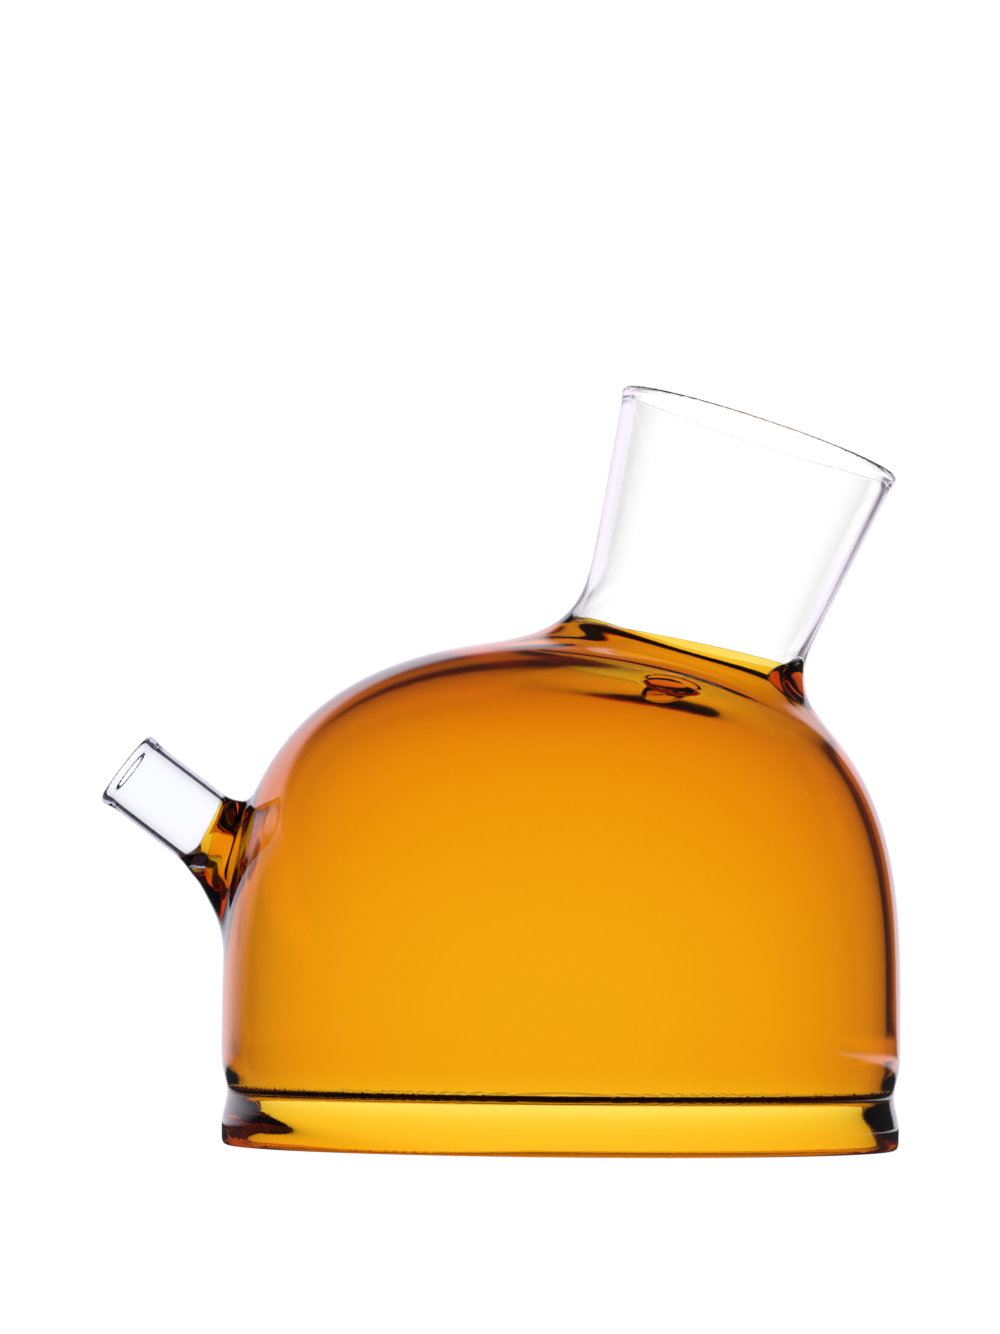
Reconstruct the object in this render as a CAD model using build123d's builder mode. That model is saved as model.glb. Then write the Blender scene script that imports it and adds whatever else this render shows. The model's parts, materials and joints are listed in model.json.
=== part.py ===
from build123d import *
import math
import os

# A domed amber pouring flask of flame-worked borosilicate glass. It stands on a short foot, with a
# clear pouring tube on its -X side and a wide, flared, clear neck that leans to +X.
# Millimetres. The origin is on the body's axis, in the plane that the foot stands on, with +Z up.

# Body: an upright wall that runs into a flattened dome
body_radius = 50.0
crown_height = 74.7  # top of the dome on the body's axis, as if there were no neck
shoulder_height = 24.1  # where the wall starts to lean in
shoulder_pull = 26.7  # how strongly the wall holds its way up before it turns over
crown_pull = 42.9  # how strongly the crown holds its way out before it turns down
wall = 1.8
crown_wall = 2.7

# Base: the foot, the flat floor above it, and the bead of glass that joins them to the wall
bead_top = 10.4
waist_height = 6.7
waist_radius = 49.0
floor_top = 8.4
floor_underside = 7.3
floor_radius = 45.8
foot_radius = 49.5
foot_bore_radius = 47.2
foot_rim_round = 0.9
waist_hollow = 0.3  # how far each of the bead's faces is hollowed, at the middle of its arc
bead_hollow = 0.45
under_hollow = 0.25

# Neck: a flared tube that leans away from the spout
neck_lean = 18.0
neck_base_x = 19.3
neck_base_z = 77.0
neck_base_radius = 16.75
neck_rim_radius = 21.35
neck_length = 30.6
neck_wall = 1.4
lip_round = 0.48  # each corner of a fire-polished rim, as a share of the wall
neck_flare_round = 11.0  # radius of the hollow curve where the neck's foot runs onto the dome
neck_flare_start = 1.0  # how far below the neck's base that curve starts
neck_flare_turn = 66.0  # how far that curve turns outwards before it is inside the dome
neck_foot_drop = 3.1  # from the neck's base down to the amber, on the neck's own axis
amber_top_lean = 11.0  # the amber collar's upper face leans less than the neck does

# Spout: a short straight tube held in a flared amber socket
spout_rise = 36.8
spout_root_x = -48.1
spout_root_z = 42.9
spout_radius = 6.0
spout_wall = 1.2
spout_reach = 21.0  # from the wall's outer face to the tip, along the spout
socket_flare_start = 4.0
socket_flare_round = 16.0
socket_depth = 7.0  # how far the socket's form runs back into the body before it is cut to the wall
spout_joint_reach = 4.6
spout_joint_lean = 20.0  # the joint between amber and clear glass is cut across at this angle

neck_sin = math.sin(math.radians(neck_lean))
neck_cos = math.cos(math.radians(neck_lean))
neck_base = Vector(neck_base_x, 0, neck_base_z)
neck_up = Vector(neck_sin, 0, neck_cos)
neck_axis = Axis(neck_base, neck_up)
neck_plane = Plane(origin=neck_base, x_dir=(neck_cos, 0, -neck_sin), z_dir=neck_up)
neck_section = Plane(origin=neck_base, x_dir=(neck_cos, 0, -neck_sin), z_dir=(0, -1, 0))
amber_sin = math.sin(math.radians(amber_top_lean))
amber_cos = math.cos(math.radians(amber_top_lean))
amber_top = Plane(
    origin=neck_base - neck_up * neck_foot_drop,
    x_dir=(amber_cos, 0, -amber_sin),
    z_dir=(amber_sin, 0, amber_cos),
)

spout_sin = math.sin(math.radians(spout_rise))
spout_cos = math.cos(math.radians(spout_rise))
spout_root = Vector(spout_root_x, 0, spout_root_z)
spout_out = Vector(-spout_cos, 0, spout_sin)
spout_axis = Axis(spout_root, spout_out)
spout_plane = Plane(origin=spout_root, x_dir=(spout_sin, 0, spout_cos), z_dir=spout_out)
spout_section = Plane(origin=spout_root, x_dir=(spout_sin, 0, spout_cos), z_dir=(0, -1, 0))
joint_angle = math.radians(spout_rise - spout_joint_lean)
spout_joint = Plane(
    origin=spout_root + spout_out * spout_joint_reach,
    x_dir=(math.sin(joint_angle), 0, math.cos(joint_angle)),
    z_dir=(-math.cos(joint_angle), 0, math.sin(joint_angle)),
)


def dome_curve(inset, crown_inset):
    """The dome's half outline, from the shoulder to the body's axis, set in from the outer face."""
    side = body_radius - inset
    top = crown_height - crown_inset
    return Bezier(
        (side, shoulder_height),
        (side, shoulder_height + shoulder_pull),
        (crown_pull - inset, top),
        (0, top),
    )


def neck_foot_outline():
    """Half section of the neck's hollow-flared foot, from the neck's base down into the dome."""
    inside = neck_base_radius - neck_wall
    start = (neck_base_radius, -neck_flare_start)
    with BuildSketch(neck_section) as outline:
        with BuildLine():
            Line((neck_base_radius, 0), start)
            flare = JernArc(start, (0, -1), neck_flare_round, neck_flare_turn)
            Polyline(flare @ 1, (inside, (flare @ 1).Y), (inside, 0), (neck_base_radius, 0))
        make_face()
    return outline.sketch


def spout_outline():
    """Half section of the whole spout, from its round lip down into the body."""
    inside = spout_radius - spout_wall
    flare_turn = math.degrees(math.asin((socket_flare_start + socket_depth) / socket_flare_round))
    with BuildSketch(spout_section) as outline:
        with BuildLine():
            Line((spout_radius, spout_reach), (spout_radius, socket_flare_start))
            flare = JernArc((spout_radius, socket_flare_start), (0, -1), socket_flare_round, flare_turn)
            Polyline(
                flare @ 1,
                (inside, -socket_depth),
                (inside, spout_reach),
                (spout_radius, spout_reach),
            )
        make_face()
        fillet(outline.vertices().group_by(Axis.Y)[-1], radius=lip_round * spout_wall)
    return outline.sketch


# The body's outer form, filled in, to cut the neck's and the spout's feet to the wall
with BuildPart() as body_form:
    with BuildSketch(Plane.XZ):
        with BuildLine():
            dome_curve(0, 0)
            Polyline(
                (0, crown_height),
                (0, bead_top),
                (body_radius, bead_top),
                (body_radius, shoulder_height),
            )
        make_face()
    revolve(axis=Axis.Z)

# The bubble: upright wall and dome in one, open below, with a hole for the neck and one for the spout
with BuildPart() as body_shell:
    with BuildSketch(Plane.XZ):
        with BuildLine():
            dome_curve(0, 0)
            Line((0, crown_height), (0, crown_height - crown_wall))
            dome_curve(wall, crown_wall)
            Polyline(
                (body_radius - wall, shoulder_height),
                (body_radius - wall, bead_top),
                (body_radius, bead_top),
                (body_radius, shoulder_height),
            )
        make_face()
    revolve(axis=Axis.Z)
    with BuildSketch(neck_plane):
        Circle(neck_base_radius - neck_wall)
    extrude(amount=-2 * neck_flare_round, mode=Mode.SUBTRACT)
    with BuildSketch(spout_plane):
        Circle(spout_radius - spout_wall)
    extrude(amount=socket_depth, both=True, mode=Mode.SUBTRACT)

# The floor: a flat disc
with BuildPart() as floor_disc:
    with BuildSketch(Plane.XY.offset(floor_underside)):
        Circle(floor_radius)
    extrude(amount=floor_top - floor_underside)

# The bead round the floor: hollow curves inside and below, and a waist outside
with BuildPart() as floor_seal:
    with BuildSketch(Plane.XZ):
        with BuildLine():
            SagittaArc((waist_radius, waist_height), (body_radius, bead_top), waist_hollow)
            Line((body_radius, bead_top), (body_radius - wall, bead_top))
            SagittaArc((body_radius - wall, bead_top), (floor_radius, floor_top), bead_hollow)
            Line((floor_radius, floor_top), (floor_radius, floor_underside))
            SagittaArc((floor_radius, floor_underside), (foot_bore_radius, waist_height), under_hollow)
            Line((foot_bore_radius, waist_height), (waist_radius, waist_height))
        make_face()
    revolve(axis=Axis.Z)

# The foot: a short skirt, straight inside and flared outside, on a fire-polished rim
with BuildPart() as foot_ring:
    with BuildSketch(Plane.XZ) as foot_outline:
        with BuildLine():
            Polyline(
                (waist_radius, waist_height),
                (foot_radius, 0),
                (foot_bore_radius, 0),
                (foot_bore_radius, waist_height),
                close=True,
            )
        make_face()
        fillet(foot_outline.vertices().group_by(Axis.Y)[0], radius=foot_rim_round)
    revolve(axis=Axis.Z)

# The amber collar of the neck: pulled up out of the dome and cut to it below
neck_foot_section = neck_foot_outline()
with BuildPart() as neck_collar:
    revolve(neck_foot_section, axis=neck_axis)
    split(bisect_by=amber_top, keep=Keep.BOTTOM)
    add(body_form.part, mode=Mode.SUBTRACT)

# The neck's clear foot: the wedge between the collar's leaning face and the neck's base
with BuildPart() as neck_foot:
    revolve(neck_foot_section, axis=neck_axis)
    split(bisect_by=amber_top, keep=Keep.TOP)

# The clear neck: an even flare, with a round rim
with BuildPart() as neck_tube:
    with BuildSketch(neck_section) as neck_outline:
        with BuildLine():
            Polyline(
                (neck_base_radius, 0),
                (neck_rim_radius, neck_length),
                (neck_rim_radius - neck_wall, neck_length),
                (neck_base_radius - neck_wall, 0),
                close=True,
            )
        make_face()
        fillet(neck_outline.vertices().group_by(Axis.Y)[-1], radius=lip_round * neck_wall)
    revolve(axis=neck_axis)

# The amber socket: the spout's flared root, cut to the wall at one end and across at the other
spout_section_outline = spout_outline()
with BuildPart() as spout_socket:
    revolve(spout_section_outline, axis=spout_axis)
    split(bisect_by=spout_joint, keep=Keep.BOTTOM)
    add(body_form.part, mode=Mode.SUBTRACT)

# The clear pouring tube, from the joint to its round lip
with BuildPart() as spout_tube:
    revolve(spout_section_outline, axis=spout_axis)
    split(bisect_by=spout_joint, keep=Keep.TOP)

pieces = {
    "body_shell": body_shell,
    "floor_disc": floor_disc,
    "floor_seal": floor_seal,
    "foot_ring": foot_ring,
    "neck_collar": neck_collar,
    "neck_foot": neck_foot,
    "neck_tube": neck_tube,
    "spout_socket": spout_socket,
    "spout_tube": spout_tube,
}
os.makedirs("parts", exist_ok=True)
for name, piece in pieces.items():
    piece.part.label = name
    export_step(piece.part, f"parts/{name}.step")
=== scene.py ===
"""Looks for the amber pouring flask: flame-worked glass, built as three closed pieces of glass.

The glass is described as smooth forms in millimetres, negative inside: one for the outside of the
whole flask and one for its inside, so that the neck and the spout melt into the body and the wall
has a real thickness. Each piece is meshed from those forms and cut off flat where it meets the next.
"""
import json
import math

import bmesh
import bpy
import numpy as np
from mathutils import Matrix, Vector


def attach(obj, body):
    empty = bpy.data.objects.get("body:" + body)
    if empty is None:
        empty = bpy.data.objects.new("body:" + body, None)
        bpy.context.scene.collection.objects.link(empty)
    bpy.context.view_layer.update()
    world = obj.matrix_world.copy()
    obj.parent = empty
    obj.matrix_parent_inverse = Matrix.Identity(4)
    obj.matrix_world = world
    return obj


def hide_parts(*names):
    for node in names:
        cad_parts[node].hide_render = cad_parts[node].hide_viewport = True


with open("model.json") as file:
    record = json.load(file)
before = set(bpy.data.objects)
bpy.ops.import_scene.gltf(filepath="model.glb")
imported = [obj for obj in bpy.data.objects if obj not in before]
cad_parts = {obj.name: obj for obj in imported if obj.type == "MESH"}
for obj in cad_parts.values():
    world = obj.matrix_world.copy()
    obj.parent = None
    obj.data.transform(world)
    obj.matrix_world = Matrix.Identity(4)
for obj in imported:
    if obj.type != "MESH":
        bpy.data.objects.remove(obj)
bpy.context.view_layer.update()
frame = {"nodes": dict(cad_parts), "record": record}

MM = 0.001


# ---------------------------------------------------------------- sizes, from the frame
def node_points(name):
    """A CAD node's vertices in millimetres."""
    data = frame["nodes"][name].data
    points = np.empty(len(data.vertices) * 3)
    data.vertices.foreach_get("co", points)
    return points.reshape(-1, 3) / MM


def tube_frame(name, lean):
    """A tube that leans in the XZ plane: (lower end of its axis, axis, direction across, length)."""
    axis = np.array([math.sin(lean), 0.0, math.cos(lean)])
    across = np.array([math.cos(lean), 0.0, -math.sin(lean)])
    points = node_points(name)
    along, side = points @ axis, points @ across
    start = axis * along.min() + across * (side.min() + side.max()) / 2
    return start, axis, across, np.ptp(along)


BODY_RADIUS = node_points("body_shell")[:, 0].max()
CROWN = 74.7  # top of the dome on the body's axis, as if there were no neck
FLOOR_TOP = node_points("floor_disc")[:, 2].max()
FLOOR_UNDER = node_points("floor_disc")[:, 2].min()
RECESS_RADIUS = next(m for m in frame["record"]["mounts"] if m["name"] == "foot_recess")["dims"]["r_mm"]

NECK_LEAN = math.radians(18)
NECK_BASE, NECK_AXIS, NECK_ACROSS, NECK_LENGTH = tube_frame("neck_tube", NECK_LEAN)
NECK_RIM_RADIUS = np.ptp(node_points("neck_tube") @ NECK_ACROSS) / 2
NECK_BASE_RADIUS = 16.75
NECK_FLARE = (NECK_RIM_RADIUS - NECK_BASE_RADIUS) / NECK_LENGTH
NECK_WALL = 1.4

SPOUT = next(m for m in frame["record"]["mounts"] if m["name"] == "spout_outside")
SPOUT_AXIS = np.array(SPOUT["axis"])
SPOUT_RADIUS = SPOUT["dims"]["r_mm"]
SPOUT_REACH = 21.0
SPOUT_TIP = (node_points("spout_tube") @ SPOUT_AXIS).max()
SPOUT_ROOT = np.array(SPOUT["pos_m"]) / MM
SPOUT_ROOT = SPOUT_ROOT + SPOUT_AXIS * (SPOUT_TIP - SPOUT_REACH - SPOUT_ROOT @ SPOUT_AXIS)
SPOUT_WALL = 1.2

WALL = 1.8
CROWN_WALL = 2.7
OVERLAP = 0.04  # how far two pieces of glass reach into each other where they are sealed

# The bell's outside and inside: (radius, top, shoulder, roundness of the side and of the crown)
BELL_OUTSIDE = (BODY_RADIUS, CROWN, 14.7, 2.325, 3.41)
BELL_INSIDE = (BODY_RADIUS - WALL, CROWN - CROWN_WALL, 13.6, 2.34, 3.62)

# The amber collar's upper face leans less than the neck does, and dips a little to the back
COLLAR_TOP = NECK_BASE - 3.5 * NECK_AXIS
COLLAR_LEAN = math.radians(11)
COLLAR_UP = np.array([math.sin(COLLAR_LEAN), 0.02, math.cos(COLLAR_LEAN)])

# The joint between the spout's amber socket and its clear tube is cut across at an angle
JOINT = SPOUT_ROOT + 4.1 * SPOUT_AXIS
JOINT_RISE = math.radians(36.8 - 23)
JOINT_OUT = np.array([-math.cos(JOINT_RISE), 0.0, math.sin(JOINT_RISE)])

# Drops of glass inside the neck's foot and the crown: (centre, radii)
DROPS = (
    ((33.6, -4.0, 68.0), (4.2, 4.5, 3.8)),
    ((14.0, -25.2, 65.4), (3.4, 2.0, 1.2)),
    ((-6.0, -14.0, 72.2), (6.0, 2.4, 1.2)),
)


# ---------------------------------------------------------------- forms
def bump(x, centre, width):
    """A smooth hump of height 1."""
    return np.exp(-(((x - centre) / width) ** 2))


def step(x, start, end):
    """0 before start and 1 after end, with a smooth change between them."""
    t = np.clip((x - start) / (end - start), 0, 1)
    return t * t * (3 - 2 * t)


def ramp(x, round_off):
    """0 below 0 and x above it, with the corner rounded."""
    return 0.5 * (x + np.sqrt(x * x + round_off * round_off))


def join(a, b, k):
    """Union of two forms with a melted seam about k wide."""
    h = np.maximum(k - np.abs(a - b), 0) / k
    return np.minimum(a, b) - h**3 * k / 6


def cut(a, b, k):
    """Intersection of two forms with a rounded edge."""
    return -join(-a, -b, k)


def about_axis(p, origin, axis, across):
    """(along the axis, distance from it, angle round it) of points."""
    d = p - origin
    along = d @ axis
    side = d @ across
    depth = d[:, 1]
    return along, np.hypot(side, depth), np.arctan2(depth, side)


def dome(p, radius, top, shoulder, p_round, q_round):
    """A bell: an upright cylinder that closes over a shoulder into a flattened crown, as
    (r / radius) ** p_round + u ** q_round = 1, where u runs from 0 at the shoulder to 1 at the top."""
    r = np.hypot(p[:, 0], p[:, 1])
    u = np.maximum(p[:, 2] - shoulder, 0) / (top - shoulder)
    a, b = (r / radius) ** p_round, u**q_round
    s = np.maximum(a + b, 1e-6)
    f = s ** (1 / p_round)
    slope_r = f / s * a / np.maximum(r, 1e-3)
    slope_z = f / s * q_round / p_round * b / np.maximum(u, 1e-6) / (top - shoulder)
    return (f - 1) / np.maximum(np.hypot(slope_r, slope_z), 0.2 / radius)


def neck_coordinates(p):
    return about_axis(p, NECK_BASE, NECK_AXIS, NECK_ACROSS)


def spout_coordinates(p):
    across = np.array([SPOUT_AXIS[2], 0.0, -SPOUT_AXIS[0]])
    return about_axis(p, SPOUT_ROOT, SPOUT_AXIS, across)


def neck_melt(p):
    """Width of the melted seam round the neck: widest on the low side, narrow at the front and back."""
    angle = neck_coordinates(p)[2]
    low_side = (1 - np.cos(angle)) / 2
    return 4.5 + 7.0 * np.cos(angle) ** 2 + 6.0 * low_side**4


def outer_body(p):
    """The outside of the whole flask: bell, waist and foot, with the neck and spout melted on."""
    z = p[:, 2]
    waist = 0.9 * bump(z, 7.8, 3.0) + 0.2 * bump(z, 0.4, 3.0)
    bell = dome(p, *BELL_OUTSIDE) + waist

    s, rho, angle = neck_coordinates(p)
    lip = 0.22 * bump(s, NECK_LENGTH - 0.9, 0.9)
    melt = 0.22 * np.sin(3 * angle + 0.6) * bump(s, -3.2, 3.5)
    neck = rho - (NECK_BASE_RADIUS + NECK_FLARE * ramp(s, 1.2) + lip + melt)
    neck = np.maximum(neck, -s - 25)
    whole = join(bell, neck, neck_melt(p))

    s, rho, angle = spout_coordinates(p)
    under_side = (1 - np.cos(angle)) / 2
    lip = 0.3 * bump(s, SPOUT_REACH - 1.0, 1.2)
    tail = 0.46 * ramp(4.2 - s, 0.8) * under_side**2
    spout = rho - (SPOUT_RADIUS - 0.3 + lip + 0.4 * bump(s, 4.0, 1.6) + tail)
    spout = np.maximum(spout, -s - 12)
    return join(whole, spout, 5.0 - 1.5 * under_side)


def drop_of_glass(p, centre, radii):
    """A drop left on the inside of the wall by the flame work."""
    away = np.linalg.norm((p - centre) / radii, axis=1)
    return (away - 1) * min(radii)


def inner_body(p):
    """The inside of the flask: the cavity, with the neck's and the spout's bores."""
    z = p[:, 2]
    thick_side = 0.15 * np.clip(p[:, 0] / BODY_RADIUS, 0, 1) ** 2
    thick_foot = 0.3 * bump(z, 7.5, 5.0)
    thick_shoulder = 0.2 * bump(z, 48, 13)
    cavity = dome(p, *BELL_INSIDE) + thick_side + thick_foot + thick_shoulder
    cavity = cut(cavity, FLOOR_TOP - z, 0.8)

    s, rho, angle = neck_coordinates(p)
    bead = 0.5 * bump(s, -7.5, 2.0) * (1 + 0.3 * np.sin(2 * angle + 1.0))
    bore = rho - (NECK_BASE_RADIUS - NECK_WALL + NECK_FLARE * ramp(s, 1.2) - bead)
    bore = np.maximum(bore, -s - 18)
    whole = join(cavity, bore, neck_melt(p) + 4.5)

    s, rho, angle = spout_coordinates(p)
    pinch = 1.3 * bump(s, 2.2, 1.8)
    bore = rho - (SPOUT_RADIUS - SPOUT_WALL - pinch)
    bore = np.maximum(bore, -s - 12)
    whole = join(whole, bore, 3.0)
    for drop in DROPS:
        whole = cut(whole, -drop_of_glass(p, *drop), 1.2)
    return whole


def run_of_glass(p):
    """How far a run of glass stands proud inside the foot, from the front round to the spout's side."""
    angle = np.degrees(np.arctan2(-p[:, 0], -p[:, 1]))
    height = 4.6 * np.clip((angle + 2) / 64, 0, 1) * step(-angle, -105, -75)
    return 0.65 * step(height - p[:, 2], -0.4, 2.8)


def under_floor(p):
    """The hollow under the floor, inside the foot. The floor thins out to its rim."""
    r = np.hypot(p[:, 0], p[:, 1])
    widening = 0.127 * p[:, 2] - 0.27
    underside = FLOOR_UNDER + 0.6 * step(r, 25, 42)
    return cut(r - RECESS_RADIUS - widening + run_of_glass(p), p[:, 2] - underside, 1.3)


def body_form(p):
    """Foot, floor and bell, with the roots of the neck and the spout, and a round rim to stand on."""
    form = np.maximum(outer_body(p), -inner_body(p))
    form = cut(form, -under_floor(p), 0.5)
    return cut(form, -p[:, 2], 1.5)


def neck_form(p):
    """The neck, with a fire-polished rim."""
    form = cut(outer_body(p), -inner_body(p), 0.4)
    return cut(form, (p - NECK_BASE) @ NECK_AXIS - NECK_LENGTH, 1.3)


def spout_form(p):
    """The pouring tube, with a fire-polished lip."""
    form = cut(outer_body(p), -inner_body(p), 0.3)
    return cut(form, (p - SPOUT_ROOT) @ SPOUT_AXIS - SPOUT_REACH, 1.1)


# ---------------------------------------------------------------- meshing
def slope(form, p, step=0.02):
    """The form's gradient at points."""
    g = np.empty_like(p)
    for i in range(3):
        d = np.zeros(3)
        d[i] = step
        g[:, i] = (form(p + d) - form(p - d)) / (2 * step)
    return g


def settle(form, p, reach):
    """Moves points onto the form's surface."""
    for _ in range(2):
        g = slope(form, p)
        move = form(p)[:, None] * g / np.maximum((g * g).sum(1), 0.05)[:, None]
        p = p - np.clip(move, -reach, reach)
    return p


def sampled(form, low, count, cell):
    """The form's values on a grid, one slice at a time."""
    axes = [low[i] + cell * np.arange(count[i]) for i in range(3)]
    value = np.empty(count)
    for i, x in enumerate(axes[0]):
        y, z = np.meshgrid(axes[1], axes[2], indexing="ij")
        points = np.stack([np.full(y.size, x), y.ravel(), z.ravel()], 1)
        value[i] = form(points).reshape(y.shape)
    return value


def owners(at, b, c, steps):
    """The cells round each grid edge that starts at a grid point and doesn't run along b or c."""
    for db, dc in steps:
        owner = at.copy()
        owner[:, b] -= db
        owner[:, c] -= dc
        yield owner


def surface_net(form, low, high, cell):
    """Vertices and quads of the form's surface inside a box, one vertex in each cell that it crosses."""
    low, high = np.asarray(low, float), np.asarray(high, float)
    count = np.ceil((high - low) / cell).astype(int) + 1
    value = sampled(form, low, count, cell)
    inside = value < 0
    total = np.zeros((*(count - 1), 3))
    hits = np.zeros(count - 1)
    crossings = []
    for a in range(3):
        first = [slice(None)] * 3
        second = [slice(None)] * 3
        first[a], second[a] = slice(0, -1), slice(1, None)
        first, second = tuple(first), tuple(second)
        crossed = inside[first] != inside[second]
        at = np.argwhere(crossed)
        v0, v1 = value[first][crossed], value[second][crossed]
        point = low + cell * at
        point[:, a] += cell * v0 / (v0 - v1)
        b, c = [k for k in range(3) if k != a]
        for owner in owners(at, b, c, ((0, 0), (0, 1), (1, 0), (1, 1))):
            good = ((owner >= 0) & (owner < count - 1)).all(1)
            np.add.at(total, tuple(owner[good].T), point[good])
            np.add.at(hits, tuple(owner[good].T), 1)
        crossings.append((a, b, c, at, inside[first][crossed]))

    # The index has spare layers that stay -1, for the cells that lie outside the box
    active = hits > 0
    index = np.full(count + 1, -1)
    index[:-2, :-2, :-2][active] = np.arange(active.sum())
    vertices = total[active] / hits[active][:, None]
    quads = []
    for a, b, c, at, solid_first in crossings:
        ring = owners(at, b, c, ((1, 1), (0, 1), (0, 0), (1, 0)))
        quad = np.stack([index[tuple(owner.T)] for owner in ring], 1)
        flip = solid_first if a != 1 else ~solid_first
        quad[~flip] = quad[~flip][:, ::-1]
        quads.append(quad[(quad >= 0).all(1)])
    used, quads = np.unique(np.concatenate(quads), return_inverse=True)
    return vertices[used], quads.reshape(-1, 4)


def relaxed(form, vertices, quads, cell, rounds):
    """Evens out the vertices' spacing while they stay on the surface."""
    ends = np.concatenate([quads[:, [i, (i + 1) % 4]] for i in range(4)])
    ends = np.concatenate([ends, ends[:, ::-1]])
    share = np.bincount(ends[:, 0], minlength=len(vertices))[:, None]
    for _ in range(rounds):
        mean = np.stack(
            [np.bincount(ends[:, 0], vertices[ends[:, 1], i], len(vertices)) for i in range(3)], 1
        ) / share
        vertices = settle(form, 0.4 * vertices + 0.6 * mean, 0.5 * cell)
    return vertices


def sliced(mesh, faces):
    """Cuts a bmesh off flat beyond each (point, normal) and closes it there. Returns the new faces."""
    closed = set()
    for point, normal in faces:
        everything = mesh.verts[:] + mesh.edges[:] + mesh.faces[:]
        place, outwards = Vector(point) * MM, Vector(normal)
        result = bmesh.ops.bisect_plane(
            mesh, geom=everything, dist=1e-8, plane_co=place, plane_no=outwards, clear_outer=True
        )
        rim = [e for e in result["geom_cut"] if isinstance(e, bmesh.types.BMEdge)]
        filled = bmesh.ops.triangle_fill(mesh, edges=rim, normal=outwards, use_beauty=True)
        closed.update(f for f in filled["geom"] if isinstance(f, bmesh.types.BMFace))
    return closed


def glass_piece(name, form, low, high, cell, faces=()):
    """A closed piece of glass: the form's surface inside a box, cut off flat at the given faces."""
    vertices, quads = surface_net(form, low, high, cell)
    vertices = settle(form, vertices, 0.5 * cell)
    vertices = relaxed(form, vertices, quads, cell, 3)
    data = bpy.data.meshes.new(name)
    data.from_pydata((vertices * MM).tolist(), [], quads.tolist())
    mesh = bmesh.new()
    mesh.from_mesh(data)
    flat = sliced(mesh, faces)
    mesh.faces.index_update()
    flat = [f.index for f in flat]
    mesh.to_mesh(data)
    mesh.free()
    data.shade_smooth()
    smooth_normals(data, form, flat)
    piece = bpy.data.objects.new(name, data)
    bpy.context.scene.collection.objects.link(piece)
    return piece


def smooth_normals(data, form, flat):
    """Gives a mesh the form's own normals, and its flat faces theirs."""
    points = np.empty(len(data.vertices) * 3)
    data.vertices.foreach_get("co", points)
    normals = slope(form, points.reshape(-1, 3) / MM)
    normals /= np.maximum(np.linalg.norm(normals, axis=1), 1e-9)[:, None]
    corner_vertex = np.empty(len(data.loops), dtype=np.int32)
    data.loops.foreach_get("vertex_index", corner_vertex)
    corners = normals[corner_vertex]
    for index in flat:
        face = data.polygons[index]
        corners[list(face.loop_indices)] = face.normal
    data.normals_split_custom_set(corners.tolist())


# ---------------------------------------------------------------- shader nodes
def node(tree, kind, **sockets):
    """A new node, with values or links on its sockets, named in lower case or as in0, in1..."""
    made = tree.nodes.new(kind)
    for name, value in sockets.items():
        numbered = name[:2] == "in" and name[2:].isdigit()
        key = int(name[2:]) if numbered else name.replace("_", " ").title()
        if isinstance(value, bpy.types.NodeSocket):
            tree.links.new(value, made.inputs[key])
        else:
            made.inputs[key].default_value = value
    return made


def sums(tree, operation, *values):
    made = node(tree, "ShaderNodeMath", **{f"in{i}": v for i, v in enumerate(values)})
    made.operation = operation
    return made.outputs[0]


def fade(tree, value, start, end, low, high):
    """low up to start, high from end, and a smooth change between them."""
    made = node(
        tree, "ShaderNodeMapRange", value=value, from_min=start, from_max=end, to_min=low, to_max=high
    )
    made.interpolation_type = "SMOOTHSTEP"
    return made.outputs["Result"]


# ---------------------------------------------------------------- materials
RIPPLE_STRETCH = 0.35  # the drawn ripples are longer upwards than across
SMOOTHEST, ROUGHEST = 0.028, 0.04


def glass(name, absorb, ripple, ripple_size):
    """Flame-worked glass: clear surface with faint drawn ripples, coloured through by absorption.

    absorb is the absorption for red, green and blue, per millimetre."""
    material = bpy.data.materials.new(name)
    material.use_nodes = True
    tree = material.node_tree
    shader = tree.nodes["Principled BSDF"]
    shader.inputs["Base Color"].default_value = (1, 1, 1, 1)
    shader.inputs["Transmission Weight"].default_value = 1.0
    shader.inputs["IOR"].default_value = 1.473

    place = node(tree, "ShaderNodeTexCoord").outputs["Object"]
    stretched = node(tree, "ShaderNodeMapping", vector=place, scale=(1.0, 1.0, RIPPLE_STRETCH))
    noise = node(
        tree, "ShaderNodeTexNoise",
        vector=stretched.outputs["Vector"], scale=1 / (ripple_size * MM), detail=2.0,
    ).outputs["Fac"]
    relief = node(tree, "ShaderNodeBump", strength=1.0, distance=ripple * MM, height=noise)
    tree.links.new(relief.outputs["Normal"], shader.inputs["Normal"])
    polish = node(tree, "ShaderNodeMapRange", value=noise, to_min=SMOOTHEST, to_max=ROUGHEST)
    tree.links.new(polish.outputs["Result"], shader.inputs["Roughness"])

    density = max(absorb) / MM
    colour = (*[1 - a / MM / density for a in absorb], 1)
    depth = node(tree, "ShaderNodeVolumeAbsorption", color=colour, density=density)
    tree.links.new(depth.outputs["Volume"], tree.nodes["Material Output"].inputs["Volume"])
    return material


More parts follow.
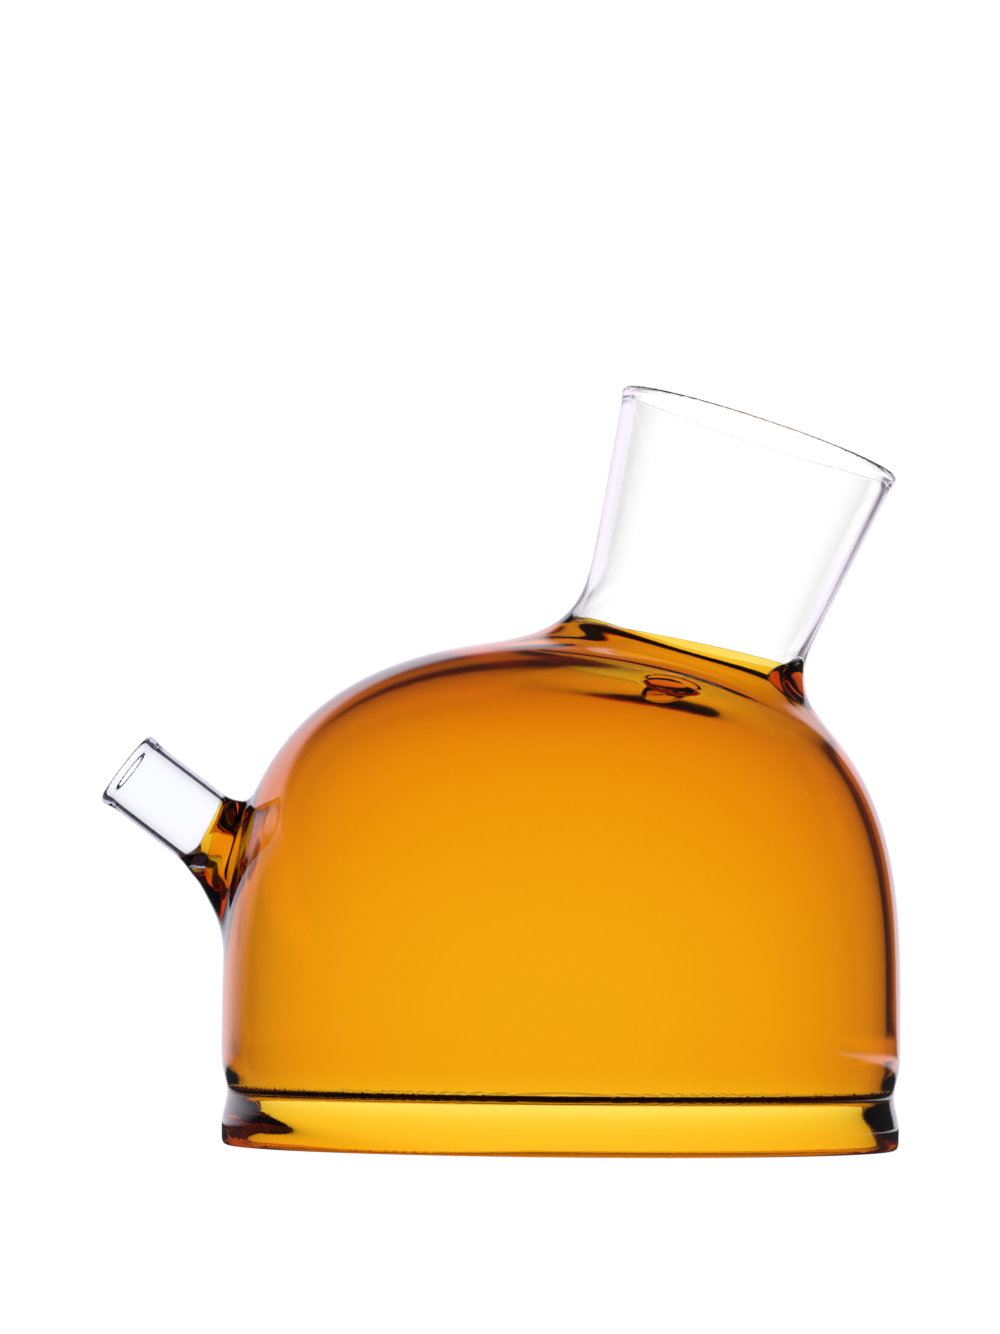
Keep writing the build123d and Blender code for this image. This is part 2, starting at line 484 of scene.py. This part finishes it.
# ---------------------------------------------------------------- studio
def camera(distance, eye_height, aim, roll, lens):
    """A camera in front of the flask that looks at aim, turned a little about its own line of sight."""
    data = bpy.data.cameras.new("camera")
    data.lens = lens
    data.clip_start, data.clip_end = 0.05, 100
    eye = bpy.data.objects.new("camera", data)
    bpy.context.scene.collection.objects.link(eye)
    eye.location = (aim[0], -distance, eye_height)
    turn = (Vector(aim) - eye.location).to_track_quat("-Z", "Y")
    eye.rotation_mode = "QUATERNION"
    eye.rotation_quaternion = turn @ Matrix.Rotation(roll, 4, "Z").to_quaternion()
    bpy.context.scene.camera = eye


camera(0.92, 0.027, (-0.0095, 0, 0.0708), math.radians(0.55), 168)


# The white panel behind the flask, by how far a direction runs aside or up for each step away from
# the camera: (where it starts to darken, where it is dark)
PANEL_RIGHT = (0.37, 0.46)
PANEL_LEFT = (0.35, 1.1)
PANEL_TOP = (0.40, 0.55)
PANEL_LIFT = 1.5  # how much further left the panel reaches for each step up
DARK = 0.04
THROUGH = 1.22  # light that comes straight through the glass
LILAC = (1.0, 0.93, 1.05, 1)


def studio_light(tree, kind, panel):
    """White to the camera and through the glass; what the glass reflects is the panel in a dark room."""
    seen = node(tree, "ShaderNodeLightPath").outputs
    reflected = sums(tree, "MINIMUM", seen["Glossy Depth"], 1.0)
    direct = sums(tree, "MULTIPLY", seen["Is Camera Ray"], THROUGH - 1.0)
    through = sums(tree, "SUBTRACT", THROUGH, direct)
    white = node(tree, kind, color=(1, 1, 1, 1), strength=through).outputs[0]
    mirrored = node(tree, kind, color=LILAC, strength=panel).outputs[0]
    return node(tree, "ShaderNodeMixShader", in0=reflected, in1=white, in2=mirrored).outputs[0]


def panel_sides(tree, x, y, up=0.0):
    """The panel's right and left sides. It reaches further left higher up."""
    aside = sums(tree, "DIVIDE", x, sums(tree, "MAXIMUM", y, 0.001))
    right = fade(tree, aside, *PANEL_RIGHT, 1.0, DARK)
    lifted = sums(tree, "ADD", aside, sums(tree, "MULTIPLY", up, PANEL_LIFT))
    leftwards = sums(tree, "MULTIPLY", lifted, -1.0)
    left = fade(tree, leftwards, *PANEL_LEFT, 1.0, DARK)
    return right, left


def studio_world():
    """The white background and the panel."""
    world = bpy.data.worlds.new("studio")
    bpy.context.scene.world = world
    world.use_nodes = True
    tree = world.node_tree
    tree.nodes.clear()
    direction = node(tree, "ShaderNodeTexCoord").outputs["Generated"]
    part = node(tree, "ShaderNodeSeparateXYZ", vector=direction).outputs
    up = sums(tree, "DIVIDE", part["Z"], sums(tree, "MAXIMUM", part["Y"], 0.001))
    right, left = panel_sides(tree, part["X"], part["Y"], up)
    sides = sums(tree, "MINIMUM", right, left)
    panel = sums(tree, "MINIMUM", sides, fade(tree, up, *PANEL_TOP, 1.0, DARK))
    panel = sums(tree, "MINIMUM", panel, fade(tree, part["Y"], 0.1, 0.2, DARK, 1.0))
    node(tree, "ShaderNodeOutputWorld", surface=studio_light(tree, "ShaderNodeBackground", panel))


def pale_floor():
    """A plain white floor. The glass reflects it as bright near the flask and in front of the panel."""
    data = bpy.data.meshes.new("floor")
    side = 30.0
    corners = [(-side, -side, 0), (side, -side, 0), (side, side, 0), (-side, side, 0)]
    data.from_pydata(corners, [], [(0, 1, 2, 3)])
    floor = bpy.data.objects.new("floor", data)
    bpy.context.scene.collection.objects.link(floor)
    material = bpy.data.materials.new("floor_white")
    material.use_nodes = True
    tree = material.node_tree
    tree.nodes.clear()
    position = node(tree, "ShaderNodeNewGeometry").outputs["Position"]
    place = node(tree, "ShaderNodeSeparateXYZ", vector=position).outputs
    x, y = place["X"], place["Y"]
    squares = sums(tree, "ADD", sums(tree, "MULTIPLY", x, x), sums(tree, "MULTIPLY", y, y))
    away = sums(tree, "SQRT", squares)
    right, left = panel_sides(tree, x, y)
    right = sums(tree, "MAXIMUM", right, fade(tree, away, 0.5, 0.8, 1.0, DARK))
    sides = sums(tree, "MINIMUM", right, left)
    panel = sums(tree, "MINIMUM", sides, fade(tree, y, 0.12, 0.2, DARK, 1.0))
    node(tree, "ShaderNodeOutputMaterial", surface=studio_light(tree, "ShaderNodeEmission", panel))
    data.materials.append(material)


studio_world()
pale_floor()
bpy.context.scene.view_settings.view_transform = "Standard"

# ---------------------------------------------------------------- the flask
AMBER = (0.045, 0.278, 1.64)
CLEAR = (0.002, 0.002, 0.002)
LAVENDER = (0.05, 0.046, 0.016)
MARGIN = 1.5  # how far the boxes to mesh reach past the glass
LAP = OVERLAP / 2

side = BODY_RADIUS + MARGIN
body = glass_piece(
    "amber_body", body_form, (-56, -side, -MARGIN), (side, side, 82), 0.7,
    ((COLLAR_TOP + LAP * COLLAR_UP, COLLAR_UP), (JOINT + LAP * JOINT_OUT, JOINT_OUT)),
)
neck = glass_piece(
    "clear_neck", neck_form, (-8, -24, 66), (52, 24, 115), 0.55,
    ((COLLAR_TOP - LAP * COLLAR_UP, -COLLAR_UP),),
)
spout = glass_piece(
    "clear_spout", spout_form, (-71, -9, 33), (-44, 9, 63), 0.4,
    ((JOINT - LAP * JOINT_OUT, -JOINT_OUT),),
)

AMBER_NODES = ("body_shell", "floor_disc", "floor_seal", "foot_ring", "neck_collar", "spout_socket")
for piece, material, slot, nodes in (
    (body, glass("amber_glass", AMBER, 0.01, 9.0), "amber_body", AMBER_NODES),
    (neck, glass("clear_glass", CLEAR, 0.006, 9.0), "clear_neck", ("neck_foot", "neck_tube")),
    (spout, glass("lavender_glass", LAVENDER, 0.006, 6.0), "clear_spout", ("spout_tube",)),
):
    piece.data.materials.append(material)
    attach(piece, "root")
    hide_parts(*nodes)
